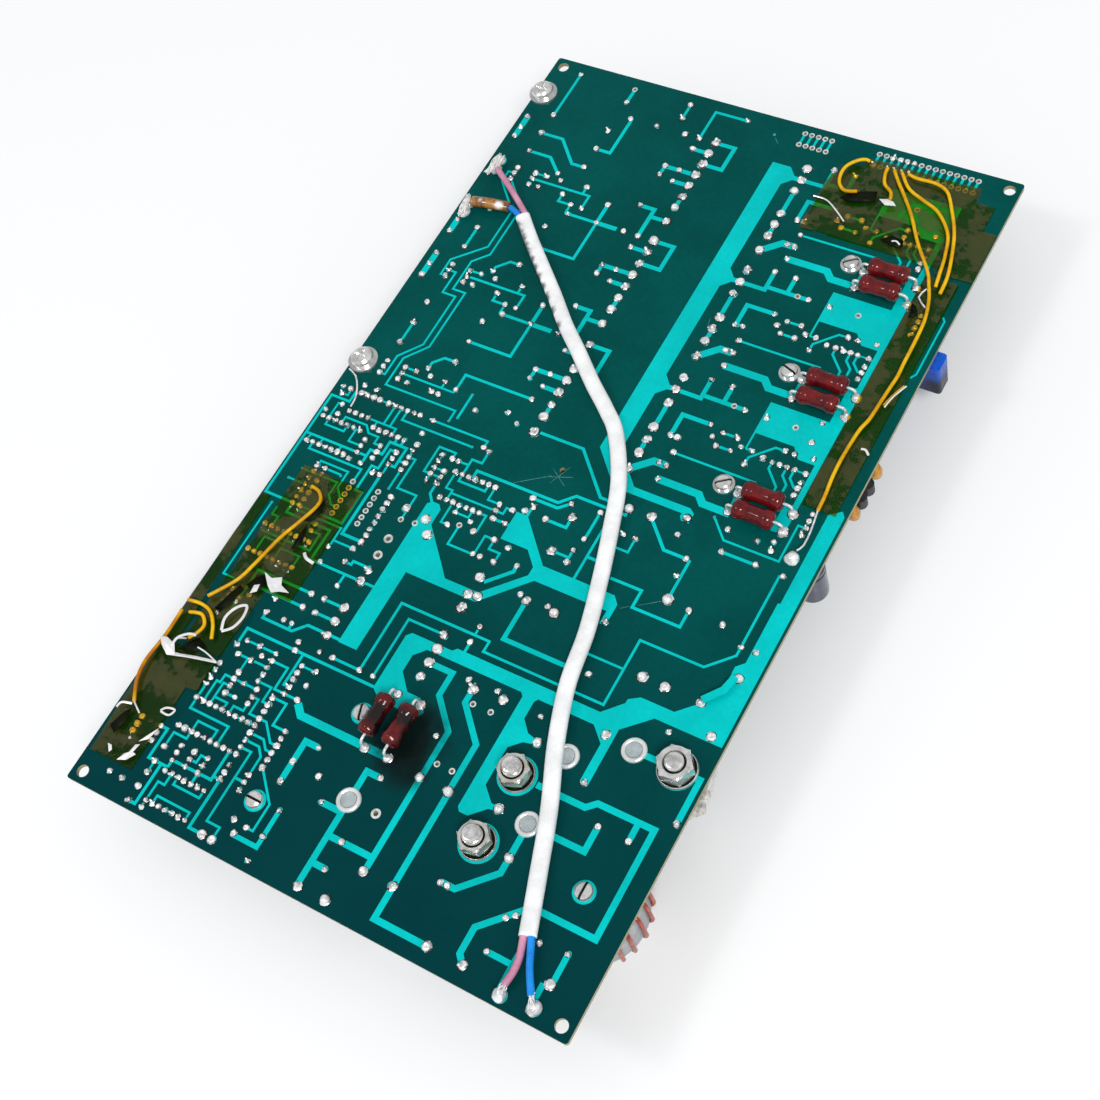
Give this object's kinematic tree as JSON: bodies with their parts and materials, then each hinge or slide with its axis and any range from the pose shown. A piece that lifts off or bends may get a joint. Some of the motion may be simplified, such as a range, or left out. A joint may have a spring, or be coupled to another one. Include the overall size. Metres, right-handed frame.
{
  "type": "laser device motherboard",
  "caption": "Long power and control circuit board of a laser device, solder side up, with wide copper tracks, power resistors, patch wires, tape and parts below.",
  "frame": {"origin": "middle of the four corner fixing holes, on the face of the solder side", "axes": "+Z out of the solder side, +Y along the board's length towards the plug pads, +X across the board"},
  "size_m": [0.1857, 0.3098, 0.0409],
  "materials": {
    "laminate": "satin",
    "copper": "gloss",
    "solder": "satin",
    "screw_metal": "satin",
    "resistor_coat": "gloss",
    "sleeve": "matte",
    "pink_insulation": "gloss",
    "blue_insulation": "gloss",
    "yellow_insulation": "gloss",
    "splice_wrap": "gloss",
    "tape": "gloss",
    "ferrite": "satin",
    "black_plastic": "satin",
    "winding_tape": "satin",
    "sink_metal": "satin",
    "can_sleeve": "gloss",
    "film_case": "gloss",
    "choke_paint": "satin",
    "copper_wire": "gloss",
    "white_plastic": "satin",
    "axial_coat": "satin",
    "bead_coat": "gloss"
  },
  "bodies": {
    "root": {"circuit_board": "laminate", "driver_copper": "copper", "stage_copper": "copper", "control_copper": "copper", "output_copper": "copper", "ring_pads": "solder", "driver_joints": "solder", "stage_joints": "solder", "control_joints": "solder", "output_joints": "solder", "large_joints": "solder", "stud_discs": "solder", "wire_heaps": "solder", "slotted_screws": "screw_metal", "slotted_washers": "screw_metal", "cross_head_screws": "screw_metal", "cross_head_washers": "screw_metal", "hex_nuts": "screw_metal", "nut_washers": "screw_metal", "power_resistors": "resistor_coat", "resistor_leads": "solder", "link_sleeve": "sleeve", "pink_wire_start": "pink_insulation", "pink_wire_end": "pink_insulation", "blue_wire_start": "blue_insulation", "blue_wire_end": "blue_insulation", "taped_splice": "splice_wrap", "yellow_wires": "yellow_insulation", "bare_leads": "solder", "solder_strap": "copper", "amber_tape": "tape", "transformer_cores": "ferrite", "transformer_formers": "black_plastic", "transformer_windings": "winding_tape", "heat_sinks": "sink_metal", "power_transistors": "black_plastic", "transistor_legs": "solder", "filter_capacitors": "can_sleeve", "small_cans": "can_sleeve", "film_capacitors": "film_case", "stud_rectifiers": "screw_metal", "choke_core": "choke_paint", "choke_winding": "copper_wire", "choke_cup": "white_plastic", "chips": "black_plastic", "chip_legs": "solder", "axial_parts": "axial_coat", "axial_leads": "solder", "headers": "black_plastic", "edge_beads": "bead_coat", "edge_transistors": "black_plastic"}
  },
  "joints": []
}
